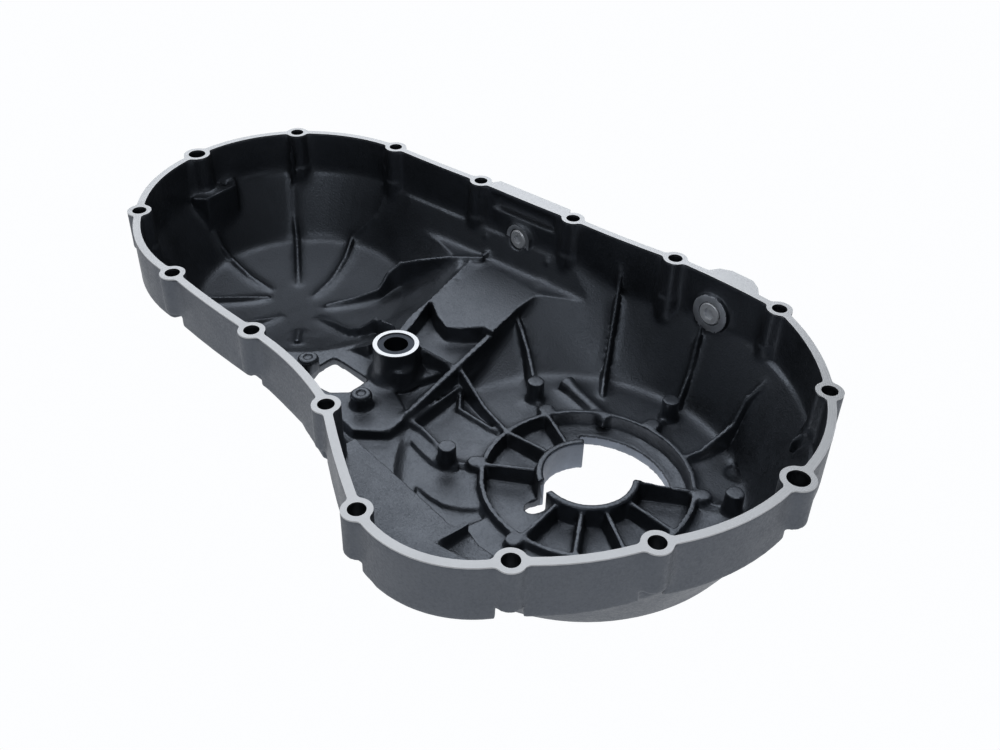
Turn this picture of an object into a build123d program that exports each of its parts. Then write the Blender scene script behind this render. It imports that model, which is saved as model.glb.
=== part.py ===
import os
from math import cos, hypot, radians, sin

from build123d import *

# Outer primary cover of a V-twin motorcycle: a die-cast shell lying on its outer face, open side up.
# The origin is the clutch axis in the plane of the seat that the cover rests on.
# +X runs from the crank end to the clutch end, +Z towards the gasket face, +Y to the side that is
# the bottom when the cover is on the motorcycle.

# Cylinders standing on their place, or hanging down from it
STANDING = (Align.CENTER, Align.CENTER, Align.MIN)
HANGING = (Align.CENTER, Align.CENTER, Align.MAX)

# Gasket face and the upright wall under it
GASKET_Z = 80.0
WALL_FOOT_Z = 53.0
SKIRT_Z = 49.0
RIM_WIDTH = 4.0
RIM_BLEND = 3.0
SKIRT_CHAMFER = 2.4

# Cover screws in order round the rim, and how far the rim line bows outward after each
SCREWS = [
    (-311.4, -15.5),
    (-297.1, 48.2),
    (-239.9, 81.5),
    (-171.9, 89.9),
    (-104.7, 97.1),
    (-39.1, 105.8),
    (26.0, 106.2),
    (79.2, 66.5),
    (102.0, 6.3),
    (85.4, -63.5),
    (54.3, -110.2),
    (-4.9, -135.0),
    (-64.5, -104.7),
    (-132.8, -96.7),
    (-202.0, -97.5),
    (-271.1, -76.9),
]
RIM_BOWS = [7.1, 6.3, -0.6, -0.4, -1.0, 1.4, 4.4, 5.6, 6.2, 3.3, 11.8, 1.0, -3.3, 0.9, 7.5, 7.7]
DOWEL_SCREWS = (0, 8)
SCREW_HOLE_R = 3.8
SCREW_BOSS_R = 6.5
DOWEL_R = 4.95
DOWEL_DEPTH = 9.0
DOWEL_BOSS_R = 7.7
SCREW_SEAT_Z = 58.0
SCREW_SEAT_R = 5.8
SEAT_WALL = 1.6

# Wall of the casting
WALL = 4.2
FLOOR = 5.0

BASE_Z = -10.0
BOWL_ROUNDING = 5.0
FLARE_STEP = 1.0
FLOOR_GROWTH = 0.6
MOUTH_GROWTH = 1.1
RIM_GROWTH = 0.9
SIDE_STEP = 1.5
SIDE_LEAN = 0.635
SIDE_SHIFT = 0.07

# Bowl round the clutch
CLUTCH_BOWL = (-8.0, -2.0)
CLUTCH_FLOOR_Z = 10.0
CLUTCH_FLOOR_R = 84.5
CLUTCH_TOP_R = 107.5
CLUTCH_MOUTH = ((-38.0, -2.0), 137.0, CLUTCH_TOP_R)

# Bowl round the crank
CRANK = (-228.3, -3.0)
CRANK_CENTRE_Z = 6.0
CRANK_FLOOR_R = 62.5
CRANK_FLOOR_Z = 16.0
CRANK_TOP_R = 82.0
CRANK_MOUTH = ((-193.0, -3.0), 117.0, CRANK_TOP_R + 2)
CRANK_FLAT_R = 34.0

# Clutch inspection opening, its seat and the collar standing in it
SEAT_R = 65.0
OPENING_R = 42.5
PLATE_Z = 1.5
LEDGE_Z = 6.0
RING_IN_R = 50.8
RING_OUT_R = 53.5
RING_TOP_Z = 15.0
COLLAR_BORE_R = 22.1
COLLAR_R = 25.6
COLLAR_TOP_Z = 18.5
OPEN_FROM = 36.0
OPEN_TO = 137.0
SLOT_ANGLE = -110.0
SLOT_END_R = 33.5
SLOT_R = 4.0

# Six bosses for the screws of the inspection cover
NODE_COUNT = 6
NODE_PCD_R = 56.2
NODE_START = 34.8
NODE_R = 4.2
NODE_TOP_Z = 15.6
NODE_HOLE_R = 2.5
NODE_HOLE_DEPTH = 11.0

# Floors between the two bowls, as outlines and heights
MIDDLE = [(-330, -150), (130, -150), (130, 150), (-330, 150)]
MIDDLE_Z = 39.0
PLATEAU = [(-101, 92), (-101, -10), (-160, -10), (-160, 92)]
PLATEAU_Z = 33.0
PLATEAU_TILT = 7.0
PLATEAU_LOW_Y = 25.0
PLATEAU_HIGH_Y = 82.0
STAR_POCKET = [
    (-101, 33),
    (-88, -40),
    (-118, -32),
    (-146, -30),
    (-137, -3),
    (-140, 8),
    (-149.5, 30),
    (-136, 22.4),
    (-124.3, 19),
    (-117.7, 23.3),
    (-108.7, 33.1),
]
PAD = [
    (-183, -44), (-166, -28), (-149, -22), (-118, -19), (-96, -30), (-88, -50), (-98, -76),
    (-112, -82), (-172, -82),
]
PAD_Z = 20.0
STAR_FOOT = [(-110, -24), (-112, -29), (-103.8, -32.2), (-94.4, -36), (-86, -36), (-90, 0), (-104, 0)]
CHANNEL = [
    (-92.8, -34), (-60, -30), (-60, -85), (-140, -85), (-136, -68), (-122, -63.5), (-101.5, -65.5),
    (-89.8, -54.5),
]
POCKETS = [(STAR_POCKET, 22.0), (STAR_FOOT, 17.0), (PAD, PAD_Z), (CHANNEL, 14.0)]
LOW_CHANNEL = [
    (-58, -61), (-49, -62), (-39, -61), (-30, -56), (-24, -50), (-18, -52), (-22, -72), (-45, -76),
]
LOW_CHANNEL_Z = 7.0
CRANK_SIDE = [
    (-141, -4), (-147.5, 12), (-151, 33), (-155, 150), (-350, 150), (-350, -150), (-172, -150),
    (-160, -26),
]
CLUTCH_SIDE = [(-109, 150), (-106, 57.5), (-87, -55), (-87, -150), (150, -150), (150, 150)]
SHELF = [(-67, -89), (-30, -91.3), (8.6, -94.5), (8.6, -145), (-67, -145)]
LOW_SHELF = [(5, -86.5), (10, -87.6), (16.4, -89.3), (24.5, -88.6), (30, -96), (30, -145), (5, -145)]
SHELVES = [(SHELF, 50.0), (LOW_SHELF, 44.0)]
SHELF_RIB = [(7.4, -116, 51), (7.4, -88, 51)]

# Lug beside the first cover screw
LUG = [(-297.2, -21), (-298, -16.3), (-301.2, 2.2), (-308.5, 6.5), (-318, 5), (-316, -26), (-303, -27)]
LUG_Z = 57.0
LUG_HOLE = (-306.8, -2.1)
LUG_HOLE_R = 2.3
LUG_HOLE_DEPTH = 8.0

# Bulge of the far wall, with a recess under its rim
BULGE = [(-168, 88), (-163.5, 98.3), (-112.5, 103.4), (-107, 95)]
RECESS = [(-162, 86), (-158.5, 94), (-117, 98.2), (-112.5, 90)]
RECESS_Z = (67.0, 76.5)

# Tall bosses round the ring
TALL_ANGLES = (31.5, 94.0, 155.5, 215.6)
TALL_PCD_R = 70.5
TALL_R = 4.5
TALL_TOP_Z = 23.5

# Shifter shaft bushing and the inspection window beside it
SHAFT = (-122.6, -18.4)
SHAFT_BOSS_R = 12.35
SHAFT_BOSS_Z = 40.0
BUSHING_R = 9.9
BUSHING_LENGTH = 22.0
SHAFT_R = 6.5
LOBE = (-115.5, -21.5)
LOBE_R = 7.5
LOBE_Z = 31.0
WINDOW_ROUNDING = 3.0
WINDOW = [(-158, -34), (-129, -33), (-127, -47), (-134, -55), (-150, -58), (-156, -46)]
HATCH_BOSSES = [(-156.9, -51.5), (-113.3, -50.0)]
HATCH_BOSS_R = 5.7
HATCH_BOSS_Z = 28.0
HATCH_HOLE_R = 2.2
HATCH_HOLE_TOP_Z = 24.0
DIMPLE_R = 2.0
DIMPLE_DEPTH = 1.2

# Drain plug in the wall on the far side, and the lug outside it
DRAIN_X = -11.0
DRAIN_Z = 60.0
DRAIN_FACE_Y = 102.5
DRAIN_BOSS_R = 11.0
DRAIN_R = 6.5
DRAIN_SEAT_Y = 118.0
DRAIN_HEAD_R = 9.0
DRAIN_HEAD = 7.0
DRAIN_LUG = [
    (-26, 100), (-24.8, 108.4), (-19.8, 109.5), (-16.9, 115), (-10.9, 118), (2, 118), (7.7, 114.1),
    (12.5, 108),
]

# End of the chain adjuster screw in the same wall
ADJUSTER = (-138.5, 55.0)
ADJUSTER_FACE_Y = 88.5
ADJUSTER_BOSS_R = 9.5
ADJUSTER_R = 6.0
ADJUSTER_SEAT_Y = 96.5

# Ribs, as width, depth under the top edge, and the course of the top edge
RIB_T = 2.4
RIB_DEPTH = 16.0
SPOKES = [
    (36.0, 18.0, 15.5),
    (3.0, 16.5, 15.0),
    (-28.0, 16.5, 15.0),
    (-54.5, 16.5, 15.0),
    (-83.5, 16.5, 15.5),
    (-144.0, 16.5, 15.5),
    (156.0, 16.5, 15.5),
]
SPINE = [(-112.5, 85, 41), (-108.5, 57.5, 34), (-90, -53, 19)]
FLOOR_RIBS = [
    [(-100, 6, 26), (-72, -1, 17.5), (-52, -4, 15), (-25, -1, 16.5)],
    [(-120, -10, 38), (-99, 4, 26)],
    [
        (-152, 74, 43), (-169.8, 63.2, 40), (-184, 52, 36), (-195.5, 45.5, 31), (-198, 38, 26),
        (-197, 29.5, 18.5),
    ],
    [(-197, 29.5, 18.5), (-206, 18, 13), (-217, 3.3, 8.5)],
    [(-154, 82, 44), (-156.8, 67.4, 40), (-150.7, 31.9, 33)],
    [(37, 97, 53), (30, 84, 37), (30, 76, 25), (26, 57, 16), (22, 46, 15)],
    [(-211, -7, 8), (-192.6, -7.3, 13), (-176, -9, 18), (-168, -7.5, 22), (-162, -1.4, 28), (-143, -3, 33)],
    [(-108, 57, 34), (-98, 52.7, 28), (-86, 45.5, 24), (-67, 31, 22.5)],
]
LOW_RIBS = [
    [(-71, 102, 79), (-66.5, 95.5, 53), (-48, 67, 16), (-41, 58, 12)],
    [(-13, 100, 54), (-9, 90, 30), (-6, 78, 15)],
    [
        (-313, -22, 52), (-304, -20, 47), (-292, -18.5, 26), (-286, -16, 18), (-269, -14.8, 12.8),
        (-252, -11, 8.6),
    ],
    [(-291.6, 39.1, 79), (-294, 40, 50), (-287.3, 34.1, 32), (-279.3, 28.5, 18), (-247.3, 5.6, 8.4)],
    [
        (-247, 78, 72), (-243, 75, 50), (-245, 67, 36), (-255, 55, 20.5), (-246, 42, 14.5),
        (-237, 25, 10), (-231, 6, 7.4),
    ],
    [(-101, 28, 20), (-95, 3, 17), (-89, -3, 14.5), (-84, -8, 13.5), (-56, -6, 12.8)],
    [(-90, -37.4, 18.5), (-82, -35.5, 16.5), (-68, -37.2, 15.5), (-57.3, -41, 16)],
    [(-89, -37, 18), (-94, 0.8, 17.5)],
    [(-205, -24.5, 10.5), (-188.2, -37.4, 16.5)],
    [(-225.6, -21, 7.4), (-225.6, -47.5, 15)],
    [(-247, -16, 8.6), (-258, -51, 18)],
]
OIL_PASSAGE = [(-61, 50.5, 11.5), (-24, 43, 11)]
OIL_PASSAGE_R = 3.8
OIL_FLARE_R = 5.6
OIL_FLARE = 8.0
BLIND_RECESS = (45.4, 62.5)
BLIND_RECESS_R = 6.5
BLIND_RECESS_Z = 7.5


def frame_at(centre):
    """Upright section plane through an axis parallel to Z."""
    return Plane(origin=(centre[0], centre[1], 0), x_dir=(1, 0, 0), z_dir=(0, -1, 0))


def wall_plane(y):
    """Upright plane facing the hollow from the far wall."""
    return Plane(origin=(0, y, 0), x_dir=(1, 0, 0), z_dir=(0, -1, 0))


def polar(radius, angle, centre=(0.0, 0.0)):
    return (centre[0] + radius * cos(radians(angle)), centre[1] + radius * sin(radians(angle)))


def bowed(start, end, bow):
    """Middle point of an edge of the rim line, moved outward by the bow."""
    run = (end[0] - start[0], end[1] - start[1])
    length = hypot(*run)
    return (
        (start[0] + end[0]) / 2 - run[1] / length * bow,
        (start[1] + end[1]) / 2 + run[0] / length * bow,
    )


def rim_face(shift):
    """Face inside the rim line, moved outward by the shift."""
    with BuildSketch() as face:
        with BuildLine():
            for start, end, bow in zip(SCREWS, SCREWS[1:] + SCREWS[:1], RIM_BOWS):
                ThreePointArc(start, bowed(start, end, bow), end)
        make_face()
        offset(amount=shift, kind=Kind.ARC)
    return face.sketch


def screw_discs(grow=0.0):
    """Round bosses at the cover screws."""
    with BuildSketch() as discs:
        for number, point in enumerate(SCREWS):
            with Locations(point):
                Circle((DOWEL_BOSS_R if number in DOWEL_SCREWS else SCREW_BOSS_R) + grow)
    return discs.sketch


def bowl(centre, points, rounding, dished=False):
    """Round bowl: the points give radius and height of its middle, its foot and its edge."""
    middle, foot, edge = points
    with BuildPart() as made:
        with BuildSketch(frame_at(centre)) as half:
            with BuildLine():
                Line((0, edge[1]), middle)
                if dished:
                    ThreePointArc(middle, (foot[0] / 2, (3 * middle[1] + foot[1]) / 4), foot)
                else:
                    Line(middle, foot)
                Polyline(foot, edge, (0, edge[1]))
            make_face()
            fillet(half.vertices().sort_by_distance((foot[0], foot[1], 0))[0], rounding)
        revolve(axis=Axis((centre[0], centre[1], 0), (0, 0, 1)))
    return made.part


def two_bowl_hull(clutch_r, crank_r, shift, height):
    """Outline round the circles of the two bowls, moved towards the far side by the shift."""
    with BuildSketch(Plane.XY.offset(height)) as hull:
        with Locations((CLUTCH_BOWL[0], CLUTCH_BOWL[1] + shift)):
            Circle(clutch_r)
        with Locations((CRANK[0], CRANK[1] + shift)):
            Circle(crank_r)
        make_hull()
    return hull.sketch


def sides(side):
    """Space inside the sloping sides that join the upright wall to the floors, from one bowl to the other."""
    drop = WALL_FOOT_Z + 1 - BASE_Z
    with BuildPart() as made:
        loft([
            two_bowl_hull(CLUTCH_TOP_R - SIDE_STEP + side, CRANK_TOP_R - SIDE_STEP + side, 0, WALL_FOOT_Z + 1),
            two_bowl_hull(
                CLUTCH_TOP_R - SIDE_STEP + side - SIDE_LEAN * drop,
                CRANK_TOP_R - SIDE_STEP + side - SIDE_LEAN * drop,
                SIDE_SHIFT * drop,
                BASE_Z,
            ),
        ])
    return made.part


def block(points, bottom, top, side=0.0, rounding=0.0):
    """Upright prism on a closed outline."""
    with BuildPart() as made:
        with BuildSketch(Plane.XY.offset(bottom)) as outline:
            with BuildLine():
                Polyline(list(points) + [points[0]])
            make_face()
            if rounding:
                fillet(outline.vertices(), rounding)
            if side:
                offset(amount=side, kind=Kind.ARC)
        extrude(amount=top - bottom)
    return made.part


def rib(points, width=RIB_T, depth=RIB_DEPTH, draft=0.5):
    """Upright cast rib whose top runs through the points; each run passes its bend by half a width."""
    with BuildPart() as made:
        for number, (start, end) in enumerate(zip(points, points[1:])):
            first = Vector(*start)
            last = Vector(*end)
            level = Vector(last.X - first.X, last.Y - first.Y, 0).normalized()
            along = (last - first) * (width / 2 / hypot(last.X - first.X, last.Y - first.Y))
            if number > 0:
                first = first - along
            if number < len(points) - 2:
                last = last + along
            for place in (first, last):
                with BuildSketch(Plane(origin=place, x_dir=(-level.Y, level.X, 0), z_dir=level)):
                    with BuildLine():
                        Polyline(
                            (-width / 2, 0),
                            (width / 2, 0),
                            (width / 2 + draft, -depth),
                            (-width / 2 - draft, -depth),
                            close=True,
                        )
                    make_face()
            loft()
    return made.part


def tilted_block(points, low, y_low, high, y_high, side=0.0):
    """Upright prism whose floor climbs from one y to another."""
    with BuildPart() as made:
        add(block(points, low - 15, WALL_FOOT_Z + 1, side))
        slope = (high - low) / (y_high - y_low)
        split(bisect_by=Plane(origin=(0, y_low, low), z_dir=(0, -slope, 1)), keep=Keep.TOP)
    return made.part


def flared_bowl(centre, floor_r, floor_z, mouth, side, down):
    """Bowl with a round floor and an oval mouth, so that one of its sides is flatter than the others."""
    top = WALL_FOOT_Z + 1
    with BuildPart() as made:
        with BuildSketch(Plane.XY.offset(floor_z - down)):
            with Locations(centre):
                Circle(floor_r + FLOOR_GROWTH * side)
        with BuildSketch(Plane.XY.offset(top)):
            with Locations(mouth[0]):
                Ellipse(mouth[1] + side, mouth[2] + side)
        loft()
    return made.part


def lower_room(side, down):
    """Room under the upright wall; grown sideways and downward it is the outside of the casting."""
    top = WALL_FOOT_Z + 1
    floor_side = FLOOR_GROWTH * side
    mouth_side = MOUTH_GROWTH * side
    with BuildPart() as middle:
        add(block(MIDDLE, MIDDLE_Z - down, top))
        low = PLATEAU_Z - down
        add(tilted_block(PLATEAU, low, PLATEAU_LOW_Y, low + PLATEAU_TILT, PLATEAU_HIGH_Y, side))
        for outline, floor_z in POCKETS:
            add(block(outline, floor_z - down, top, side))
        add(sides(side), mode=Mode.INTERSECT)
    with BuildPart() as clutch_flare:
        add(flared_bowl(CLUTCH_BOWL, CLUTCH_FLOOR_R - FLARE_STEP, CLUTCH_FLOOR_Z, CLUTCH_MOUTH, side, down))
        add(block(CLUTCH_SIDE, BASE_Z, top, side), mode=Mode.INTERSECT)
    with BuildPart() as crank_flare:
        add(flared_bowl(CRANK, CRANK_FLOOR_R - FLARE_STEP, CRANK_FLOOR_Z, CRANK_MOUTH, side, down))
        add(block(CRANK_SIDE, BASE_Z, top, side), mode=Mode.INTERSECT)
    clutch = [
        (0, CLUTCH_FLOOR_Z - down),
        (CLUTCH_FLOOR_R + floor_side, CLUTCH_FLOOR_Z - down),
        (CLUTCH_TOP_R + mouth_side, top),
    ]
    crank = [
        (0, CRANK_CENTRE_Z - down),
        (CRANK_FLOOR_R + floor_side, CRANK_FLOOR_Z - down),
        (CRANK_TOP_R + mouth_side, top),
    ]
    with BuildPart() as room:
        add(middle.part)
        add(clutch_flare.part)
        add(crank_flare.part)
        add(bowl(CLUTCH_BOWL, clutch, BOWL_ROUNDING + side))
        add(bowl(CRANK, crank, BOWL_ROUNDING + side, True))
        with BuildSketch(Plane.XY.offset(BASE_Z)):
            add(rim_face(-RIM_WIDTH / 2 + RIM_GROWTH * side))
        extrude(amount=GASKET_Z - BASE_Z, mode=Mode.INTERSECT)
    return room.part


# Outside of the casting before its hollow is taken out
with BuildPart() as shell:
    with BuildSketch(Plane.XY.offset(SKIRT_Z)):
        add(rim_face(RIM_WIDTH / 2))
        offset(amount=2 * RIM_BLEND, kind=Kind.ARC)
        offset(amount=-3 * RIM_BLEND, kind=Kind.ARC)
        offset(amount=RIM_BLEND, kind=Kind.ARC)
    extrude(amount=GASKET_Z - SKIRT_Z)
    chamfer(shell.faces().sort_by(Axis.Z)[0].edges(), SKIRT_CHAMFER)
    # Bosses of the cover screws, down to the seats of the screw heads
    with BuildSketch(Plane.XY.offset(SCREW_SEAT_Z)):
        add(rim_face(RIM_WIDTH / 2))
        add(screw_discs())
        offset(amount=RIM_BLEND, kind=Kind.ARC)
        offset(amount=-RIM_BLEND, kind=Kind.ARC)
    extrude(amount=GASKET_Z - SCREW_SEAT_Z)
    add(lower_room(WALL, FLOOR))
    with BuildSketch(Plane.XY.offset(SKIRT_Z)):
        with BuildLine():
            Polyline(DRAIN_LUG + [DRAIN_LUG[0]])
        make_face()
    extrude(amount=GASKET_Z - SKIRT_Z)
    add(block(BULGE, SKIRT_Z + SKIRT_CHAMFER, GASKET_Z))
    with BuildSketch():
        Circle(SEAT_R)
    extrude(amount=CLUTCH_FLOOR_Z)
    with BuildSketch():
        with Locations(CRANK):
            Circle(CRANK_FLAT_R)
    extrude(amount=CRANK_CENTRE_Z - 2)

# Hollow of the casting, before anything that stands up from its floor
with BuildPart() as hollow:
    with BuildSketch(Plane.XY.offset(WALL_FOOT_Z)):
        add(rim_face(-RIM_WIDTH / 2))
        add(screw_discs(), mode=Mode.SUBTRACT)
        offset(amount=-RIM_BLEND, kind=Kind.ARC)
        offset(amount=RIM_BLEND, kind=Kind.ARC)
    extrude(amount=GASKET_Z - WALL_FOOT_Z)
    add(lower_room(0, 0))
    add(block(LOW_CHANNEL, LOW_CHANNEL_Z, CLUTCH_FLOOR_Z + 1))
    add(block(RECESS, *RECESS_Z))
    with Locations((*BLIND_RECESS, BLIND_RECESS_Z)):
        Cylinder(BLIND_RECESS_R, CLUTCH_FLOOR_Z - BLIND_RECESS_Z + 1, align=STANDING)
    # Shallow well between the collar and the ring
    with BuildSketch(Plane.XY.offset(LEDGE_Z)):
        Circle(RING_IN_R)
    extrude(amount=CLUTCH_FLOOR_Z - LEDGE_Z + 1)
    # Raised shelves on the near side of the clutch bowl, and a lug beside the first screw
    for outline, top_z in SHELVES + [(LUG, LUG_Z)]:
        add(block(outline, BASE_Z, top_z), mode=Mode.SUBTRACT)
    # Feet of the cover screws bulge through the inside of the sloping sides
    for number, point in enumerate(SCREWS):
        with Locations((point[0], point[1], -5)):
            Cylinder(
                SCREW_SEAT_R + SEAT_WALL,
                SCREW_SEAT_Z + 5,
                align=STANDING,
                mode=Mode.SUBTRACT,
            )

# Ribs, bosses and collar that stand in the hollow
with BuildPart() as inner:
    # Ring round the inspection opening and the collar inside it
    with BuildSketch():
        Circle(RING_OUT_R)
        Circle(RING_IN_R, mode=Mode.SUBTRACT)
    extrude(amount=RING_TOP_Z)
    with BuildSketch():
        Circle(COLLAR_R)
        Circle(COLLAR_BORE_R, mode=Mode.SUBTRACT)
    extrude(amount=COLLAR_TOP_Z)
    with PolarLocations(NODE_PCD_R, NODE_COUNT, NODE_START):
        Cylinder(NODE_R, NODE_TOP_Z, align=STANDING)
    # Tall bosses outside the ring
    for angle in TALL_ANGLES:
        with Locations(polar(TALL_PCD_R, angle)):
            Cone(TALL_R + 0.8, TALL_R, TALL_TOP_Z, align=STANDING)
        add(rib([(*polar(RING_IN_R + 1, angle), 13.5), (*polar(TALL_PCD_R, angle), 13.0)], RIB_T, 8))
    # Spokes between the collar and the ring
    for angle, inner_z, outer_z in SPOKES:
        add(rib([
            (*polar(COLLAR_BORE_R + 1.5, angle), inner_z),
            (*polar(RING_IN_R + 1.5, angle), outer_z),
        ]))
    for path in FLOOR_RIBS:
        add(rib(path))
    for path in LOW_RIBS:
        add(rib(path, RIB_T - 0.4, 9))
    add(rib(SPINE, RIB_T + 1.0, 26))
    add(rib(SHELF_RIB, RIB_T, 12))
    # Boss of the shifter shaft bushing
    with Locations((*SHAFT, 0)):
        Cone(SHAFT_BOSS_R + 1.5, SHAFT_BOSS_R, SHAFT_BOSS_Z, align=STANDING)
    with Locations(*[(*point, 0) for point in HATCH_BOSSES]):
        Cylinder(HATCH_BOSS_R, HATCH_BOSS_Z, align=STANDING)
    with Locations((*LOBE, 0)):
        Cylinder(LOBE_R, LOBE_Z, align=STANDING)
    # Bosses in the far wall for the drain plug and the chain adjuster screw
    with BuildSketch(wall_plane(DRAIN_FACE_Y)):
        with Locations((DRAIN_X, DRAIN_Z)):
            Circle(DRAIN_BOSS_R)
    extrude(amount=-(DRAIN_SEAT_Y - DRAIN_FACE_Y))
    with BuildSketch(wall_plane(ADJUSTER_FACE_Y)):
        with Locations(ADJUSTER):
            Circle(ADJUSTER_BOSS_R)
    extrude(amount=-(ADJUSTER_SEAT_Y - ADJUSTER_FACE_Y))
    # Half-round oil passage lying on the clutch floor
    passage = Vector(*OIL_PASSAGE[1]) - Vector(*OIL_PASSAGE[0])
    with BuildSketch(Plane(origin=OIL_PASSAGE[0], z_dir=passage.normalized())):
        Circle(OIL_PASSAGE_R)
    extrude(amount=passage.length)
    with Locations(Plane(origin=OIL_PASSAGE[0], z_dir=passage.normalized())):
        Cone(OIL_FLARE_R, OIL_PASSAGE_R, OIL_FLARE, align=STANDING)

with BuildPart() as primary_cover:
    add(shell.part)
    add(hollow.part - inner.part, mode=Mode.SUBTRACT)
    # Cover screw holes, with flat seats for the screw heads outside
    with Locations(*[(*point, 0) for point in SCREWS]):
        Cylinder(SCREW_HOLE_R, GASKET_Z + 1, align=STANDING, mode=Mode.SUBTRACT)
        Cylinder(SCREW_SEAT_R, SCREW_SEAT_Z, align=STANDING, mode=Mode.SUBTRACT)
    with Locations(*[(*SCREWS[number], GASKET_Z) for number in DOWEL_SCREWS]):
        Cylinder(DOWEL_R, DOWEL_DEPTH, align=HANGING, mode=Mode.SUBTRACT)
    # Inspection opening: recess under the plate, collar bore, open sector and slot
    with BuildSketch():
        Circle(OPENING_R)
    extrude(amount=PLATE_Z, mode=Mode.SUBTRACT)
    with BuildSketch():
        Circle(COLLAR_BORE_R)
        with BuildLine():
            Line(polar(COLLAR_BORE_R - 3, OPEN_FROM), polar(OPENING_R, OPEN_FROM))
            CenterArc((0, 0), OPENING_R, OPEN_FROM, OPEN_TO - OPEN_FROM)
            Line(polar(OPENING_R, OPEN_TO), polar(COLLAR_BORE_R - 3, OPEN_TO))
            CenterArc((0, 0), COLLAR_BORE_R - 3, OPEN_TO, OPEN_FROM - OPEN_TO)
        make_face()
        with Locations(Location((0, 0, 0), (0, 0, SLOT_ANGLE))):
            with Locations(((COLLAR_BORE_R - 3 + SLOT_END_R) / 2, 0)):
                SlotOverall(SLOT_END_R - COLLAR_BORE_R + 3, 2 * SLOT_R)
    extrude(amount=COLLAR_TOP_Z + 1, mode=Mode.SUBTRACT)
    with PolarLocations(NODE_PCD_R, NODE_COUNT, NODE_START):
        Cylinder(
            NODE_HOLE_R,
            NODE_HOLE_DEPTH,
            align=STANDING,
            mode=Mode.SUBTRACT,
        )
    # Holes in the lug and in the bosses beside the window
    with Locations((*LUG_HOLE, LUG_Z)):
        Cylinder(LUG_HOLE_R, LUG_HOLE_DEPTH, align=HANGING, mode=Mode.SUBTRACT)
    with Locations(*[(*point, 0) for point in HATCH_BOSSES]):
        Cylinder(HATCH_HOLE_R, HATCH_HOLE_TOP_Z, align=STANDING, mode=Mode.SUBTRACT)
    with Locations(*[(*point, HATCH_BOSS_Z) for point in HATCH_BOSSES]):
        Cylinder(DIMPLE_R, DIMPLE_DEPTH, align=HANGING, mode=Mode.SUBTRACT)
    # Window under the shaft boss, and the shaft bore
    add(block(WINDOW, BASE_Z, PAD_Z + 1, rounding=WINDOW_ROUNDING), mode=Mode.SUBTRACT)
    with Locations((*SHAFT, 0)):
        Cylinder(BUSHING_R, SHAFT_BOSS_Z + 1, align=STANDING, mode=Mode.SUBTRACT)

    # Bores of the drain plug and the adjuster screw
    with BuildSketch(wall_plane(DRAIN_FACE_Y)):
        with Locations((DRAIN_X, DRAIN_Z)):
            Circle(DRAIN_R)
    extrude(amount=-(DRAIN_SEAT_Y - DRAIN_FACE_Y + 1), mode=Mode.SUBTRACT)
    with BuildSketch(wall_plane(ADJUSTER_FACE_Y - 2)):
        with Locations(ADJUSTER):
            Circle(ADJUSTER_R)
    extrude(amount=-(ADJUSTER_SEAT_Y - ADJUSTER_FACE_Y + 3), mode=Mode.SUBTRACT)

# Plain bushing pressed into the shaft boss
with BuildPart() as shifter_shaft_bushing:
    with BuildSketch(Plane.XY.offset(SHAFT_BOSS_Z - BUSHING_LENGTH - 0.5)):
        with Locations(SHAFT):
            Circle(BUSHING_R)
            Circle(SHAFT_R, mode=Mode.SUBTRACT)
    extrude(amount=BUSHING_LENGTH)

# Drain plug, its flange seated on the lug
with BuildPart() as drain_plug:
    with BuildSketch(wall_plane(DRAIN_FACE_Y - 0.5)):
        with Locations((DRAIN_X, DRAIN_Z)):
            Circle(DRAIN_R)
    extrude(amount=-(DRAIN_SEAT_Y - DRAIN_FACE_Y + 0.5))
    with BuildSketch(wall_plane(DRAIN_SEAT_Y)):
        with Locations((DRAIN_X, DRAIN_Z)):
            Circle(DRAIN_HEAD_R)
    extrude(amount=-DRAIN_HEAD)

# Chain adjuster screw, seen only by its end
with BuildPart() as chain_adjuster_screw:
    with BuildSketch(wall_plane(ADJUSTER_FACE_Y - 0.5)):
        with Locations(ADJUSTER):
            Circle(ADJUSTER_R)
    extrude(amount=-(ADJUSTER_SEAT_Y - ADJUSTER_FACE_Y + 0.5))

os.makedirs("parts", exist_ok=True)
primary_cover.part.label = "primary_cover"
export_step(primary_cover.part, "parts/primary_cover.step")
shifter_shaft_bushing.part.label = "shifter_shaft_bushing"
export_step(shifter_shaft_bushing.part, "parts/shifter_shaft_bushing.step")
drain_plug.part.label = "drain_plug"
export_step(drain_plug.part, "parts/drain_plug.step")
chain_adjuster_screw.part.label = "chain_adjuster_screw"
export_step(chain_adjuster_screw.part, "parts/chain_adjuster_screw.step")
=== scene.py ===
from math import cos, inf, pi, radians, sin

import bmesh
import bpy
import numpy as np
from mathutils import Euler, Matrix, Vector


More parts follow.
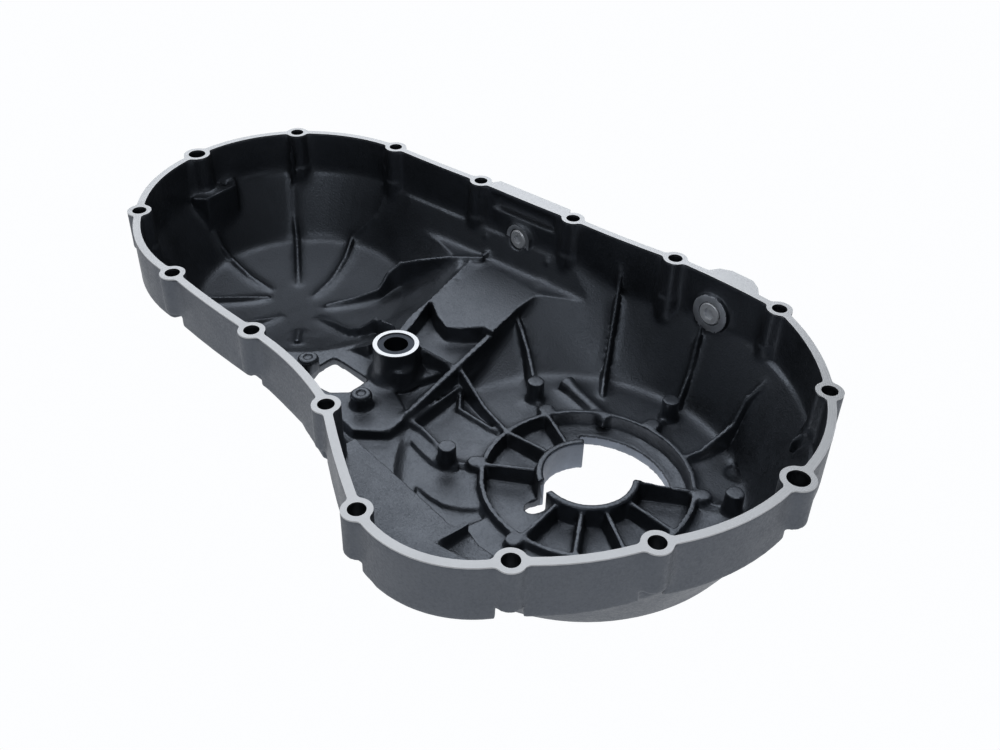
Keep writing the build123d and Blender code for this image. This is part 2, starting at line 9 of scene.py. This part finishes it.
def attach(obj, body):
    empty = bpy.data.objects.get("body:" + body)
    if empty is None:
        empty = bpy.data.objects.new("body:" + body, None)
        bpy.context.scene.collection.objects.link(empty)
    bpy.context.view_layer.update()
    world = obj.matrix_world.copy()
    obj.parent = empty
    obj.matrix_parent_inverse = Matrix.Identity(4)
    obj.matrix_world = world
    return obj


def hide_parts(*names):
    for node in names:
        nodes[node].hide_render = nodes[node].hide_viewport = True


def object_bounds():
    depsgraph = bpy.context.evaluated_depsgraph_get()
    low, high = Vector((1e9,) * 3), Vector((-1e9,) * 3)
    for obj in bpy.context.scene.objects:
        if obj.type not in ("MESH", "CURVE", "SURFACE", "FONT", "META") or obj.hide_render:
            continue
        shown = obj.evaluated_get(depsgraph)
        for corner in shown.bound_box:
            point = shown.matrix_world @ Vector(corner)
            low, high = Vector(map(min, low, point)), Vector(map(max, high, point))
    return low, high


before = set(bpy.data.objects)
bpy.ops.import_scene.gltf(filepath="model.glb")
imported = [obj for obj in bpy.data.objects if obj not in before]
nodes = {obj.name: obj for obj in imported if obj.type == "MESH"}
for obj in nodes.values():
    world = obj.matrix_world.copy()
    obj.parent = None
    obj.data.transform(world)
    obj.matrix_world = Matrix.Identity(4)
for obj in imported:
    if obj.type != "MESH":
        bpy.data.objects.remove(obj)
cad_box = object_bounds()
scene = bpy.context.scene
scene.view_settings.view_transform = "Standard"
scene.view_settings.look = "None"
scene.view_settings.gamma = 0.76

# Places on the casting, as in the part's source
MM = 0.001
GASKET_Z = 80 * MM
SCREW_SEAT_Z = 58 * MM
SCREWS = np.array([
    (-311.4, -15.5), (-297.1, 48.2), (-239.9, 81.5), (-171.9, 89.9), (-104.7, 97.1), (-39.1, 105.8),
    (26.0, 106.2), (79.2, 66.5), (102.0, 6.3), (85.4, -63.5), (54.3, -110.2), (-4.9, -135.0),
    (-64.5, -104.7), (-132.8, -96.7), (-202.0, -97.5), (-271.1, -76.9),
]) * MM
SHAFT = np.array((-122.6, -18.4)) * MM
SHAFT_TOP_Z = 40 * MM
SHAFT_TOP_R = 13 * MM
DRAIN = Vector((-11.0, 102.5, 60.0)) * MM
ADJUSTER = Vector((-138.5, 88.5, 55.0)) * MM
HATCH_BOSSES = [(-156.9, -51.5), (-113.3, -50.0)]

# Noise scales of the coating and of bare metal, per metre
FINE_GRAIN = 1100.0
GRAIN = 640.0
SWIRL = 60.0
CLOUD = 22.0
METAL_CLOUD = 55.0

# Depth of the relief in the materials, in metres
GRAIN_DEPTH = 0.0003
SWIRL_DEPTH = 0.0004
MARK_DEPTH = 0.00003

# The coating's gloss with its bluish highlights, and its tones as place on the clouds and grey
COAT_IOR = 1.85
COAT_HIGHLIGHT = (0.83, 0.895, 1.0, 1.0)
COAT_TONES = [(0.36, 0.006), (0.52, 0.010), (0.66, 0.016)]

# Bare metal's tones, as place on the clouds and share of its full tone
METAL_TONES = [(0.32, 0.88), (0.68, 1.0)]

# How far green follows blue in a bluish grey
GREEN_SHARE = 0.35


def material(name):
    made = bpy.data.materials.new(name)
    made.use_nodes = True
    tree = made.node_tree
    tree.nodes.clear()
    return made, tree


def noise(tree, coords, scale, detail, rough):
    node = tree.nodes.new("ShaderNodeTexNoise")
    for key, value in {"Scale": scale, "Detail": detail, "Roughness": rough}.items():
        node.inputs[key].default_value = value
    tree.links.new(coords, node.inputs["Vector"])
    return node.outputs["Fac"]


def ramp(tree, fac, stops):
    node = tree.nodes.new("ShaderNodeValToRGB")
    tree.links.new(fac, node.inputs["Fac"])
    elements = node.color_ramp.elements
    elements[0].position, elements[0].color = stops[0]
    elements[1].position, elements[1].color = stops[-1]
    for position, colour in stops[1:-1]:
        elements.new(position).color = colour
    return node.outputs["Color"]


def calc(tree, operation, *values):
    node = tree.nodes.new("ShaderNodeMath")
    node.operation = operation
    for socket, value in zip(node.inputs, values):
        if isinstance(value, float):
            socket.default_value = value
        else:
            tree.links.new(value, socket)
    return node.outputs[0]


def map_range(tree, value, given, wanted):
    node = tree.nodes.new("ShaderNodeMapRange")
    for key, limit in zip(("From Min", "From Max", "To Min", "To Max"), (*given, *wanted)):
        node.inputs[key].default_value = limit
    tree.links.new(value, node.inputs["Value"])
    return node.outputs["Result"]


def bump(tree, height, distance, strength, under=None):
    node = tree.nodes.new("ShaderNodeBump")
    node.inputs["Strength"].default_value = strength
    node.inputs["Distance"].default_value = distance
    tree.links.new(height, node.inputs["Height"])
    if under is not None:
        tree.links.new(under, node.inputs["Normal"])
    return node.outputs["Normal"]


def grey(value, blue):
    return (value, value * (1 + GREEN_SHARE * blue), value * (1 + blue), 1.0)


def shade(tree, colour, rough, normal, **fixed):
    """Surface of the material: three linked inputs, the rest fixed on the shader's own sockets."""
    shader = tree.nodes.new("ShaderNodeBsdfPrincipled")
    for key, value in fixed.items():
        shader.inputs[key.replace("_", " ")].default_value = value
    tree.links.new(colour, shader.inputs["Base Color"])
    tree.links.new(rough, shader.inputs["Roughness"])
    tree.links.new(normal, shader.inputs["Normal"])
    output = tree.nodes.new("ShaderNodeOutputMaterial")
    tree.links.new(shader.outputs[0], output.inputs["Surface"])


def cast_coat(name, grain_size=1.0, relief=0.35, gloss=(0.34, 0.52), pale=1.0, blue=0.55):
    """Satin charcoal coating over a sand-fine die casting."""
    made, tree = material(name)
    xyz = tree.nodes.new("ShaderNodeTexCoord").outputs["Object"]
    fine = noise(tree, xyz, FINE_GRAIN / grain_size, 1.0, 0.6)
    grain = noise(tree, xyz, GRAIN / grain_size, 2.0, 0.6)
    swirl = noise(tree, xyz, SWIRL, 4.0, 0.6)
    cloud = noise(tree, xyz, CLOUD, 4.0, 0.55)
    stops = [(place, grey(tone * pale, blue)) for place, tone in COAT_TONES]
    colour = ramp(tree, calc(tree, "MULTIPLY", calc(tree, "ADD", cloud, swirl), 0.5), stops)
    mixed = calc(tree, "ADD", calc(tree, "ADD", swirl, grain), fine)
    rough = map_range(tree, mixed, (1.2, 1.8), gloss)
    grit = calc(tree, "ADD", calc(tree, "MULTIPLY", fine, 0.8), grain)
    normal = bump(tree, swirl, SWIRL_DEPTH, 0.10)
    normal = bump(tree, grit, GRAIN_DEPTH, relief, normal)
    shade(tree, colour, rough, normal, IOR=COAT_IOR, Specular_Tint=COAT_HIGHLIGHT, Specular_IOR_Level=1.0)
    return made


def machined(name, tone, gloss=(0.30, 0.42), marks=300.0, metal=1.0, blue=0.05):
    """Bare metal, milled or turned: an even tone with faint ring marks."""
    made, tree = material(name)
    xyz = tree.nodes.new("ShaderNodeTexCoord").outputs["Object"]
    rings = tree.nodes.new("ShaderNodeTexWave")
    rings.wave_type = "RINGS"
    rings.rings_direction = "Z"
    for key, value in {"Scale": marks, "Distortion": 2.0, "Detail": 2.0}.items():
        rings.inputs[key].default_value = value
    tree.links.new(xyz, rings.inputs["Vector"])
    cloud = noise(tree, xyz, METAL_CLOUD, 5.0, 0.62)
    colour = ramp(tree, cloud, [(place, grey(tone * share, blue)) for place, share in METAL_TONES])
    rough = map_range(tree, cloud, (0.3, 0.7), gloss)
    normal = bump(tree, rings.outputs["Fac"], MARK_DEPTH, 0.30)
    shade(tree, colour, rough, normal, Metallic=metal)
    return made


COAT = cast_coat("cast_coat")
SANDED = cast_coat("sanded_coat", grain_size=0.8, relief=0.8, gloss=(0.42, 0.58))
SPOT_FACE = cast_coat("spot_faced_coat", grain_size=0.8, relief=0.3, gloss=(0.34, 0.46), pale=42.0, blue=0.10)
BORED = cast_coat("bored_coat", grain_size=0.8, relief=0.3, gloss=(0.34, 0.46), pale=20.0, blue=0.35)
RIM = machined("machined_aluminium", tone=0.43)
TURNED = machined("turned_aluminium", tone=0.60, gloss=(0.24, 0.36))
STEEL = machined("turned_steel", tone=0.075, gloss=(0.38, 0.50), marks=500.0, metal=0.8, blue=0.40)
PLATED = machined("plated_steel", tone=0.92, gloss=(0.26, 0.42), marks=500.0, metal=0.25)


# The casting's skin: the cell of its grid, and the size and creases of its final mesh
FINE_VOXEL = 0.75 * MM
VOXEL = FINE_VOXEL
TRIANGLES_KEPT = 198000
CREASE = radians(38)
WELD = 0.001 * MM
TINY = 1e-12

# Fillets: rounds that fill hollows deeper than the slack, then rounds that shrink the skin and swell it back
FILL_ROUNDS = 60
FILL_STEP = 0.9
FILL_SLACK = 0.0035 * MM * VOXEL / FINE_VOXEL
NORMALS_EVERY = 4
SMOOTH_ROUNDS = 26
SHRINK = 0.50
SWELL = 0.52

# A machined face stands CUT above the skin, and its edge reaches LIP down
CUT = 0.1 * MM
LIP = 0.7 * MM
LEVEL = 0.02 * MM
SKIN_EDGE = 0.25 * MM
SHAFT_FACE_DEPTH = 1 * MM

# How much of a face's normal points along an axis: a flat face, an upright one, one that hangs over
FLAT = 0.9
UPRIGHT = 0.5
OVERHANG = -0.3

# Machined places that keep their sharp inner corners
EDGE = 0.6 * MM
FOOT_EDGE = 0.4 * MM
INSPECTION_SEAT_R = 43.5 * MM
INSPECTION_SEAT_Z = 5.6 * MM
INSPECTION_BORE_R = 22.9 * MM
SCREW_HOLE_R = 5.2 * MM
SCREW_SEAT_DEPTH = 1 * MM
SHAFT_EDGE_R = 13.2 * MM
SHAFT_BORE_R = 11.0 * MM
DRAIN_FACE_R = 11.4 * MM

# Zones of the skin with a finish of their own
SANDED_X = (-68 * MM, 31 * MM)
SANDED_Y = -80 * MM
SANDED_Z = (42 * MM, 54.5 * MM)
SPOT_FACES = [(DRAIN, 10.6 * MM), (ADJUSTER, 9.1 * MM)]
SPOT_FACE_DEPTH = 0.3 * MM
BORED_R = 23.4 * MM
BORED_Z = 19 * MM
SEAT_RING_R = (36 * MM, 44 * MM)
SEAT_RING_Z = 5.2 * MM

# Small cast features, in mm: fins as two top points, width and foot, a terrace as outline and heights,
# and the flare of the shaft boss as radius and height
FINS = [
    ((-160.9, 87.0, 53.5), (-160.3, 82.8, 50.0), 1.6, 43.0),
    ((-115.7, 92.5, 54.0), (-115.2, 87.9, 50.0), 1.6, 43.0),
    ((76.5, 63.0, 59.0), (71.0, 58.0, 50.0), 2.2, 44.0),
]
TERRACE = [
    (-89, -41.5), (-81, -44), (-72.6, -45.6), (-62.3, -46.7), (-54.4, -45), (-50, -40), (-57, -37.5),
    (-75, -36.5), (-89, -36),
]
TERRACE_Z = (6.0, 13.2)
FLARE = [(16.0, 19.0), (11.5, 29.5)]
FLARE_SIDES = 48

# The shelf by the near rim, in mm: where it lies, and how it rises towards the rim
SHELF_X = (-68, 9)
SHELF_Y = -88
SHELF_BAND = (49.4, 53.4)
SHELF_Z = 50
SHELF_RISE = 2.6
SHELF_RISE_Y = -92
SHELF_DEPTH = 20

# The ramp before the shaft boss, in mm: it rises towards the boss and stops at the boss's foot
RAMP_X = (-161, -132)
RAMP_Y = (-27, -3)
RAMP_Z = (20, 39)
RAMP_START_X = -157
RAMP_SLOPE = 0.65
SHAFT_FOOT_R = 12.6


def between(values, limits):
    return (values > limits[0]) & (values < limits[1])


def turns(count):
    """Angles of a full turn in equal steps."""
    return [2 * pi * k / count for k in range(count)]


def gather(items, key, width, kind=float):
    """One property of all items, as rows of an array."""
    values = np.empty(len(items) * width, dtype=kind)
    items.foreach_get(key, values)
    return values.reshape(-1, width)


def spread(index, values, count):
    """Sum of the rows of values that belong to each point."""
    return np.stack([np.bincount(index, values[:, k], count) for k in range(3)], axis=1)


def point_normals(co, quads):
    n = np.cross(co[quads[:, 2]] - co[quads[:, 0]], co[quads[:, 3]] - co[quads[:, 1]])
    total = sum(spread(quads[:, k], n, len(co)) for k in range(4))
    return total / np.maximum(np.linalg.norm(total, axis=1, keepdims=True), TINY)


def from_shaft(co):
    return np.hypot(co[:, 0] - SHAFT[0], co[:, 1] - SHAFT[1])


def held(co):
    """Where the casting is machined, its inner corners aren't filled."""
    x, y, z = co.T
    from_axis = np.hypot(x, y)
    keep = (z > GASKET_Z - EDGE) | (z < FOOT_EDGE)
    keep |= (from_axis < INSPECTION_SEAT_R) & (z < INSPECTION_SEAT_Z)
    keep |= from_axis < INSPECTION_BORE_R
    for screw_x, screw_y in SCREWS:
        from_screw = np.hypot(x - screw_x, y - screw_y)
        keep |= (from_screw < SCREW_HOLE_R) & (z > SCREW_SEAT_Z - SCREW_SEAT_DEPTH)
    keep |= (from_shaft(co) < SHAFT_EDGE_R) & (z > SHAFT_TOP_Z - EDGE)
    keep |= from_shaft(co) < SHAFT_BORE_R
    keep |= (np.hypot(x - DRAIN.x, z - DRAIN.z) < DRAIN_FACE_R) & (y > DRAIN.y - EDGE)
    return keep


def closed_prism(bm, low, high):
    """Solid between two rings of the same number of points, in mm."""
    rings = [[bm.verts.new(Vector(p) * MM) for p in ring] for ring in (low, high)]
    count = len(low)
    bm.faces.new(rings[0][::-1])
    bm.faces.new(rings[1])
    for i in range(count):
        j = (i + 1) % count
        bm.faces.new((rings[0][i], rings[0][j], rings[1][j], rings[1][i]))


def add_small_features(bm):
    """Fins on the walls, the terrace at a tall boss and the flare of the shaft boss."""
    for (x0, y0, z0), (x1, y1, z1), width, foot in FINS:
        side = Vector((y0 - y1, x1 - x0)).normalized() * width / 2
        corners = [
            (x0 + side.x, y0 + side.y, z0), (x0 - side.x, y0 - side.y, z0),
            (x1 - side.x, y1 - side.y, z1), (x1 + side.x, y1 + side.y, z1),
        ]
        closed_prism(bm, [(x, y, foot) for x, y, _ in corners], corners)
    closed_prism(bm, *[[(x, y, z) for x, y in TERRACE] for z in TERRACE_Z])
    closed_prism(bm, *[
        [(SHAFT[0] / MM + r * cos(t), SHAFT[1] / MM + r * sin(t), z) for t in turns(FLARE_SIDES)]
        for r, z in FLARE
    ])


def carve(co):
    """The shelf is one gentle slope, and the corner before the shaft boss falls away as a ramp."""
    x, y, z = co.T / MM
    shelf = between(x, SHELF_X) & (y < SHELF_Y) & between(z, SHELF_BAND)
    slope = SHELF_Z + SHELF_RISE * np.clip((SHELF_RISE_Y - y) / SHELF_DEPTH, 0, 1)
    z = np.where(shelf, slope, z)
    corner = between(x, RAMP_X) & between(y, RAMP_Y) & (from_shaft(co) / MM > SHAFT_FOOT_R)
    fall = np.clip(RAMP_Z[0] + (x - RAMP_START_X) * RAMP_SLOPE, *RAMP_Z)
    z = np.where(corner, np.minimum(z, fall), z)
    return np.stack([x, y, z], axis=1) * MM


def apply_modifier(piece, kind, **settings):
    """Keeps the result of one modifier as the piece's mesh."""
    modifier = piece.modifiers.new(kind, kind)
    for key, value in settings.items():
        setattr(modifier, key, value)
    shaped = piece.evaluated_get(bpy.context.evaluated_depsgraph_get())
    piece.data = bpy.data.meshes.new_from_object(shaped)
    piece.modifiers.clear()


def cast_fillets(mesh):
    """Fills inner corners and rounds edges, and keeps the top, the foot and the shaft boss's face flat."""
    co = gather(mesh.vertices, "co", 3)
    a, b = gather(mesh.edges, "vertices", 2, np.int64).T
    quads = gather(mesh.loops, "vertex_index", 1, np.int64).reshape(-1, 4)
    count = len(co)
    links = np.bincount(a, minlength=count) + np.bincount(b, minlength=count)
    top = co[:, 2] > GASKET_Z - SKIN_EDGE
    foot = co[:, 2] < SKIN_EDGE
    co = carve(co)
    free = (~held(co)).astype(float)[:, None]

    def pull():
        return (spread(a, co[b], count) + spread(b, co[a], count)) / links[:, None] - co

    for turn in range(FILL_ROUNDS):
        if turn % NORMALS_EVERY == 0:
            up = point_normals(co, quads)
        rise = (pull() * up).sum(1, keepdims=True)
        co = co + free * up * np.maximum(rise - FILL_SLACK, 0) * FILL_STEP
    for turn in range(SMOOTH_ROUNDS):
        co = co + SHRINK * pull()
        co = co - SWELL * pull()
    co[top, 2] = GASKET_Z - CUT
    co[foot, 2] = 0
    boss_face = (from_shaft(co) < SHAFT_TOP_R) & (co[:, 2] > SHAFT_TOP_Z - SHAFT_FACE_DEPTH)
    co[:, 2] = np.where(boss_face, np.minimum(co[:, 2], SHAFT_TOP_Z - CUT), co[:, 2])
    mesh.vertices.foreach_set("co", co.ravel())
    mesh.update()


def cast_skin():
    """Copy of the casting with the small features and the fillets of a die casting."""
    mesh = nodes["primary_cover"].data.copy()
    bm = bmesh.new()
    bm.from_mesh(mesh)
    bmesh.ops.remove_doubles(bm, verts=bm.verts, dist=WELD)
    add_small_features(bm)
    bm.to_mesh(mesh)
    bm.free()
    skin = bpy.data.objects.new("cover_casting", mesh)
    scene.collection.objects.link(skin)
    apply_modifier(skin, "REMESH", mode="VOXEL", voxel_size=VOXEL)
    cast_fillets(skin.data)
    triangles = 2 * len(skin.data.polygons)
    apply_modifier(skin, "DECIMATE", ratio=min(1.0, TRIANGLES_KEPT / triangles))
    return skin


def finish_zones(skin):
    """The shelf has a coarser skin, spot faces and bored walls are paler, all else has the satin coat."""
    x, y, z = gather(skin.data.polygons, "center", 3).T
    normal = gather(skin.data.polygons, "normal", 3)
    from_axis = np.hypot(x, y)
    finishes = [COAT, SANDED, SPOT_FACE, BORED]
    zone = np.full(len(x), finishes.index(COAT), dtype=np.int32)
    shelf = between(z, SANDED_Z) & between(x, SANDED_X) & (y < SANDED_Y)
    zone[shelf & (normal[:, 2] > FLAT)] = finishes.index(SANDED)
    for centre, radius in SPOT_FACES:
        spot = (np.hypot(x - centre.x, z - centre.z) < radius) & (abs(y - centre.y) < SPOT_FACE_DEPTH)
        zone[spot & (normal[:, 1] < -FLAT)] = finishes.index(SPOT_FACE)
    bore = (from_axis < BORED_R) & (z < BORED_Z) & (abs(normal[:, 2]) < UPRIGHT)
    seat_ring = between(from_axis, SEAT_RING_R) & (z < SEAT_RING_Z) & (normal[:, 2] > OVERHANG)
    zone[bore | seat_ring] = finishes.index(BORED)
    skin.data.materials.clear()
    for finish in finishes:
        skin.data.materials.append(finish)
    skin.data.polygons.foreach_set("material_index", zone)
    skin.data.polygons.foreach_set("use_smooth", np.ones(len(zone), dtype=bool))
    skin.data.set_sharp_from_angle(angle=CREASE)


def add_piece(name, bm, finish):
    """Piece of the part, made of a finished mesh."""
    mesh = bpy.data.meshes.new(name)
    bm.to_mesh(mesh)
    bm.free()
    mesh.materials.append(finish)
    piece = bpy.data.objects.new(name, mesh)
    scene.collection.objects.link(piece)
    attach(piece, "root")
    return piece


def machined_face(name, height, finish, centre=(0, 0), reach=inf):
    """The flat faces of the casting at one height, with a short crisp edge under them."""
    bm = bmesh.new()
    bm.from_mesh(nodes["primary_cover"].data)
    bmesh.ops.remove_doubles(bm, verts=bm.verts, dist=WELD)
    flat = {
        face for face in bm.faces
        if face.normal.z > FLAT
        and (face.calc_center_median().xy - Vector(centre)).length < reach
        and all(abs(v.co.z - height) < LEVEL for v in face.verts)
    }
    bmesh.ops.delete(bm, geom=[face for face in bm.faces if face not in flat], context="FACES")
    border = [edge for edge in bm.edges if edge.is_boundary]
    for item in bmesh.ops.extrude_edge_only(bm, edges=border)["geom"]:
        if isinstance(item, bmesh.types.BMVert):
            item.co.z -= LIP
    add_piece(name, bm, finish)


machined_face("gasket_face", GASKET_Z, RIM)
machined_face("shaft_boss_face", SHAFT_TOP_Z, TURNED, SHAFT, SHAFT_TOP_R)
cover = cast_skin()
finish_zones(cover)
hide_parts("primary_cover")
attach(cover, "root")

NODE_FINISHES = {
    "primary_cover": COAT,
    "shifter_shaft_bushing": STEEL,
    "drain_plug": PLATED,
    "chain_adjuster_screw": PLATED,
}
for name, finish in NODE_FINISHES.items():
    for slot in nodes[name].material_slots:
        slot.material = finish


# Round pieces as rings in mm. A boss's crown has radius and height from its foot to the dimple in its middle
CROWN = [(5.2, 27.2), (5.4, 28.1), (4.6, 28.9), (3.2, 29.1), (2.5, 28.8), (2.1, 28.15), (0.5, 28.05)]
CROWN_SIDES = 40

# A plug has shape, size and place from the inner end's socket, over the body, to the outer end's socket.
# A round ring's size is its radius, and a hex ring's size is its width across flats
PLUG = [
    ("round", 0.8, 103.8), ("hex", 5.4, 103.6), ("hex", 5.4, 102.3), ("hex", 6.4, 102.0),
    ("round", 5.7, 102.0), ("round", 6.2, 102.5), ("round", 6.2, 103.4), ("round", 6.45, 103.4),
    ("round", 6.45, 118.0), ("round", 9.0, 118.0), ("round", 9.0, 124.3), ("round", 8.3, 125.0),
    ("hex", 9.2, 125.0), ("hex", 8.4, 124.6), ("hex", 8.4, 121.6), ("round", 0.8, 121.4),
]
SCREW = [
    ("round", 0.7, 89.6), ("hex", 4.4, 89.5), ("hex", 4.4, 88.3), ("hex", 5.2, 88.0),
    ("round", 5.2, 88.0), ("round", 5.8, 88.6), ("round", 5.95, 88.8), ("round", 5.95, 95.9),
    ("round", 5.4, 96.5), ("hex", 5.2, 96.5), ("hex", 4.4, 96.2), ("hex", 4.4, 94.8), ("round", 0.7, 94.7),
]
PLUG_SIDES = 48
PLUG_CREASE = radians(30)


def closed_rings(name, rings, finish):
    """Piece whose skin joins rings of points, in metres, and is capped at both ends."""
    bm = bmesh.new()
    rings = [[bm.verts.new(point) for point in ring] for ring in rings]
    count = len(rings[0])
    for a, b in zip(rings, rings[1:]):
        for i in range(count):
            j = (i + 1) % count
            bm.faces.new((a[i], a[j], b[j], b[i]))
    bm.faces.new(rings[-1])
    bm.faces.new(rings[0][::-1])
    for face in bm.faces:
        face.smooth = True
    bmesh.ops.recalc_face_normals(bm, faces=bm.faces)
    return add_piece(name, bm, finish)


def crown(name, x, y):
    """Rounded top with a dimple, on an upright boss."""
    return closed_rings(name, [
        [((x + r * cos(t)) * MM, (y + r * sin(t)) * MM, z * MM) for t in turns(CROWN_SIDES)]
        for r, z in CROWN
    ], COAT)


def ring_radius(shape, size, t):
    """Distance from the axis to a round or hex outline, in mm."""
    return size if shape == "round" else size / 2 / cos(t % (pi / 3) - pi / 6)


def socket_plug(name, node, axis, profile):
    """Plug across the wall, with a hex socket in each end."""
    rings = []
    for shape, size, y in profile:
        polar = [(ring_radius(shape, size, t) * MM, t) for t in turns(PLUG_SIDES)]
        rings.append([(axis.x + r * cos(t), y * MM, axis.z + r * sin(t)) for r, t in polar])
    piece = closed_rings(name, rings, PLATED)
    piece.data.set_sharp_from_angle(angle=PLUG_CREASE)
    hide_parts(node)
    return piece


for number, (x, y) in enumerate(HATCH_BOSSES, start=1):
    crown(f"hatch_boss_crown_{number}", x, y)
socket_plug("drain_plug_socket", "drain_plug", DRAIN, PLUG)
socket_plug("adjuster_screw_socket", "chain_adjuster_screw", ADJUSTER, SCREW)


# Floor, a white table that glows softly
FLOOR_SIZE = 8.0
FLOOR_WHITE = (0.985, 0.99, 1.0, 1.0)

bpy.ops.mesh.primitive_plane_add(size=FLOOR_SIZE, location=(0, 0, cad_box[0][2]))
floor = bpy.context.object
floor.name = "floor"
pale_floor, tree = material("pale_floor")
glow = tree.nodes.new("ShaderNodeEmission")
glow.inputs["Color"].default_value = FLOOR_WHITE
glow.inputs["Strength"].default_value = 1.0
tree.links.new(glow.outputs[0], tree.nodes.new("ShaderNodeOutputMaterial").inputs["Surface"])
floor.data.materials.append(pale_floor)


# Studio light: softboxes as azimuth, elevation, distance, width, height, power and tint
MIDDLE = Vector((-0.10, 0.0, 0.04))
COOL = (0.97, 0.985, 1.0)
SOFTBOXES = {
    "top_softbox": (150, 60, 1.5, 2.2, 1.9, 21.0, COOL),
    "front_fill": (-62, 48, 1.6, 0.8, 0.8, 3.0, (0.95, 0.975, 1.0)),
    "back_softbox": (138, 17, 2.0, 2.6, 0.75, 10.5, COOL),
}


def add_softbox(name, azimuth, elevation, distance, width, height, power, tint):
    """Area light on a dome round the part, facing its middle."""
    data = bpy.data.lights.new(name, "AREA")
    data.shape = "RECTANGLE"
    data.size = width
    data.size_y = height
    data.energy = power
    data.color = tint
    softbox = bpy.data.objects.new(name, data)
    scene.collection.objects.link(softbox)
    turn, tilt = radians(azimuth), radians(elevation)
    way = Vector((cos(tilt) * cos(turn), cos(tilt) * sin(turn), sin(tilt)))
    softbox.location = MIDDLE + distance * way
    softbox.rotation_euler = (-way).to_track_quat("-Z", "Y").to_euler()


for name, settings in SOFTBOXES.items():
    add_softbox(name, *settings)

# A white tent, brightest near the floor and fainter overhead
TENT = [
    (0.09, (0.97, 0.985, 1.0, 1)),
    (0.24, (0.16, 0.17, 0.18, 1)),
    (1.00, (0.04, 0.045, 0.05, 1)),
]
world = bpy.data.worlds.new("studio")
scene.world = world
world.use_nodes = True
tree = world.node_tree
sky = tree.nodes["Background"]
way = tree.nodes.new("ShaderNodeSeparateXYZ")
tree.links.new(tree.nodes.new("ShaderNodeTexCoord").outputs["Generated"], way.inputs[0])
tree.links.new(ramp(tree, way.outputs["Z"], TENT), sky.inputs["Color"])
sky.inputs["Strength"].default_value = 1.0


# Camera, at the photograph's place and angle
CAMERA_PLACE = Vector((239.936, -308.631, 371.357)) * MM
CAMERA_ANGLES = (52.7731, -1.5549, 45.6091)
CAMERA_LENS = 38.539

cam_data = bpy.data.cameras.new("camera")
cam_data.lens = CAMERA_LENS
cam_data.sensor_width = 36.0
cam_data.clip_start = 0.01
cam = bpy.data.objects.new("camera", cam_data)
scene.collection.objects.link(cam)
aim = Euler([radians(angle) for angle in CAMERA_ANGLES])
cam.matrix_world = Matrix.Translation(CAMERA_PLACE) @ aim.to_matrix().to_4x4()
scene.camera = cam
